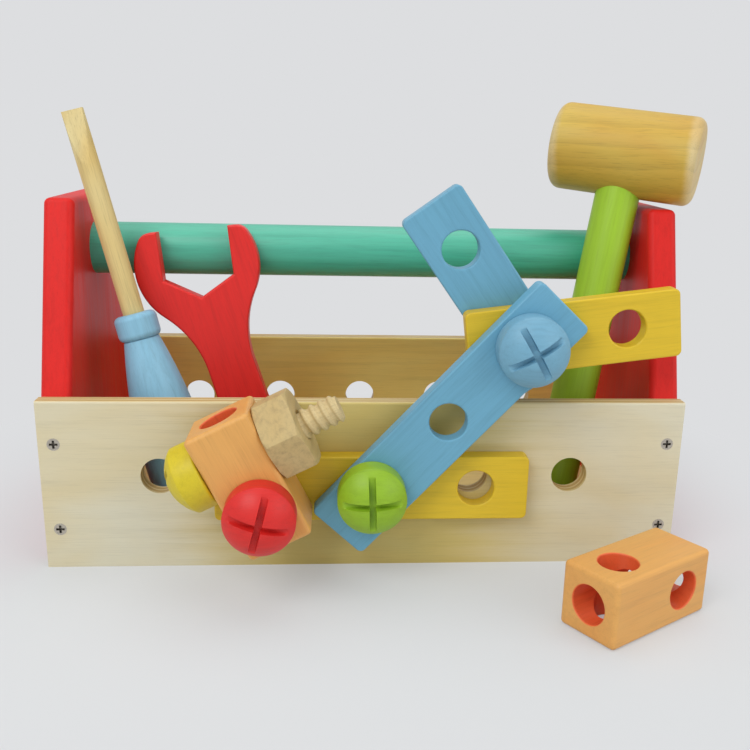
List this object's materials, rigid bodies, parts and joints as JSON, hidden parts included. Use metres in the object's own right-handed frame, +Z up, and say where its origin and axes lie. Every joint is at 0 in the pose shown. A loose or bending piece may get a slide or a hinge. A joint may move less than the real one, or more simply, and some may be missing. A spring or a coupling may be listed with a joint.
{
  "type": "toy tool box",
  "caption": "Open wooden toy tool box with a dowel handle, play hammer, screwdriver and wrench, and drilled strips, blocks, bolts and nuts fitted to its front.",
  "frame": {"origin": "centre of the box's underside, on the ground", "axes": "+X along the box to the right seen from the front, -Y out of the front wall, +Z up"},
  "size_m": [0.2967, 0.2127, 0.2032],
  "materials": {
    "bare_wood": "bare",
    "blue_wood": "painted",
    "green_dowel": "painted",
    "light_blue_wood": "painted",
    "lime_wood": "painted",
    "orange_wood": "painted",
    "plywood": "bare",
    "red_wood": "painted",
    "screw_steel": "bare metal",
    "yellow_wood": "painted"
  },
  "bodies": {
    "box": {"left_end": "red_wood", "right_end": "red_wood", "front_wall": "plywood", "back_wall": "plywood", "bottom_board": "plywood", "handle_dowel": "green_dowel", "wall_screws": "screw_steel", "handle_screws": "screw_steel", "yellow_strip_long": "yellow_wood"},
    "bolt_green": {"bolt_green": "lime_wood"},
    "nut_green": {"nut_green": "bare_wood"},
    "bolt_red": {"bolt_red": "red_wood"},
    "nut_red": {"nut_red": "bare_wood"},
    "blue_strip_long": {"blue_strip_long": "blue_wood"},
    "bolt_light_blue": {"bolt_light_blue": "light_blue_wood"},
    "nut_light_blue": {"nut_light_blue": "bare_wood"},
    "yellow_strip_short": {"yellow_strip_short": "yellow_wood"},
    "blue_strip_short": {"blue_strip_short": "blue_wood"},
    "block_mounted": {"block_mounted": "orange_wood"},
    "bolt_yellow": {"bolt_yellow": "yellow_wood"},
    "nut_yellow": {"nut_yellow": "bare_wood"},
    "screwdriver": {"screwdriver_handle": "light_blue_wood", "screwdriver_shaft": "bare_wood"},
    "wrench": {"wrench": "red_wood"},
    "hammer": {"hammer_head": "bare_wood", "hammer_handle": "lime_wood"},
    "block_loose": {"block_loose": "orange_wood"}
  },
  "joints": [
    {"name": "green_bolt_turn", "type": "hinge", "parent": "box", "child": "bolt_green", "pos_m": [0.001, -0.0844, 0.041], "axis": [0, -1, 0], "range_deg": [0, 540]},
    {"name": "green_nut_travel", "type": "slide", "parent": "box", "child": "nut_green", "axis": [0, 1, 0], "range_m": [0, 0.006]},
    {"name": "red_bolt_turn", "type": "hinge", "parent": "box", "child": "bolt_red", "pos_m": [-0.044, -0.1044, 0.041], "axis": [0, -1, 0], "range_deg": [0, 540]},
    {"name": "red_nut_travel", "type": "slide", "parent": "box", "child": "nut_red", "axis": [0, 1, 0], "range_m": [0, 0.006]},
    {"name": "blue_strip_swing", "type": "hinge", "parent": "box", "child": "blue_strip_long", "pos_m": [0.002, -0.0802, 0.0394], "axis": [0, -1, 0], "range_deg": [0, 28]},
    {"name": "light_blue_bolt_turn", "type": "hinge", "parent": "blue_strip_long", "child": "bolt_light_blue", "pos_m": [0.06498, -0.0844, 0.10462], "axis": [0, -1, 0], "range_deg": [0, 540]},
    {"name": "light_blue_nut_travel", "type": "slide", "parent": "blue_strip_long", "child": "nut_light_blue", "axis": [0, 1, 0], "range_m": [0, 0.006]},
    {"name": "yellow_short_swing", "type": "hinge", "parent": "blue_strip_long", "child": "yellow_strip_short", "pos_m": [0.06338, -0.072, 0.10522], "axis": [0, -1, 0], "range_deg": [-60, 60]},
    {"name": "blue_short_swing", "type": "hinge", "parent": "blue_strip_long", "child": "blue_strip_short", "pos_m": [0.06338, -0.0638, 0.10522], "axis": [0, -1, 0], "range_deg": [-45, 45]},
    {"name": "block_swing", "type": "hinge", "parent": "box", "child": "block_mounted", "pos_m": [-0.043, -0.0902, 0.0394], "axis": [0, -1, 0], "range_deg": [-3, 40]},
    {"name": "yellow_bolt_turn", "type": "hinge", "parent": "block_mounted", "child": "bolt_yellow", "pos_m": [-0.05348, -0.0907, 0.06032], "axis": [-0.8942, 0, -0.4478], "range_deg": [0, 540]},
    {"name": "yellow_nut_travel", "type": "slide", "parent": "block_mounted", "child": "nut_yellow", "axis": [0.8942, 0, 0.4478], "range_m": [0, 0.006]},
    {"name": "screwdriver_lift", "type": "slide", "parent": "box", "child": "screwdriver", "axis": [0, 0, 1], "range_m": [0, 0.16]},
    {"name": "wrench_lift", "type": "slide", "parent": "box", "child": "wrench", "axis": [0, 0, 1], "range_m": [0, 0.16]},
    {"name": "hammer_lift", "type": "slide", "parent": "box", "child": "hammer", "axis": [0.1834, 0.1555, 0.9707], "range_m": [0, 0.17]},
    {"name": "loose_block_lift", "type": "slide", "parent": "box", "child": "block_loose", "axis": [0, 0, 1], "range_m": [0, 0.06]}
  ],
  "couplings": [
    {"joint": "green_bolt_turn", "follows": "green_nut_travel", "rad_per_m": 1570.8},
    {"joint": "red_bolt_turn", "follows": "red_nut_travel", "rad_per_m": 1570.8},
    {"joint": "light_blue_bolt_turn", "follows": "light_blue_nut_travel", "rad_per_m": 1570.8},
    {"joint": "yellow_bolt_turn", "follows": "yellow_nut_travel", "rad_per_m": 1570.8}
  ]
}
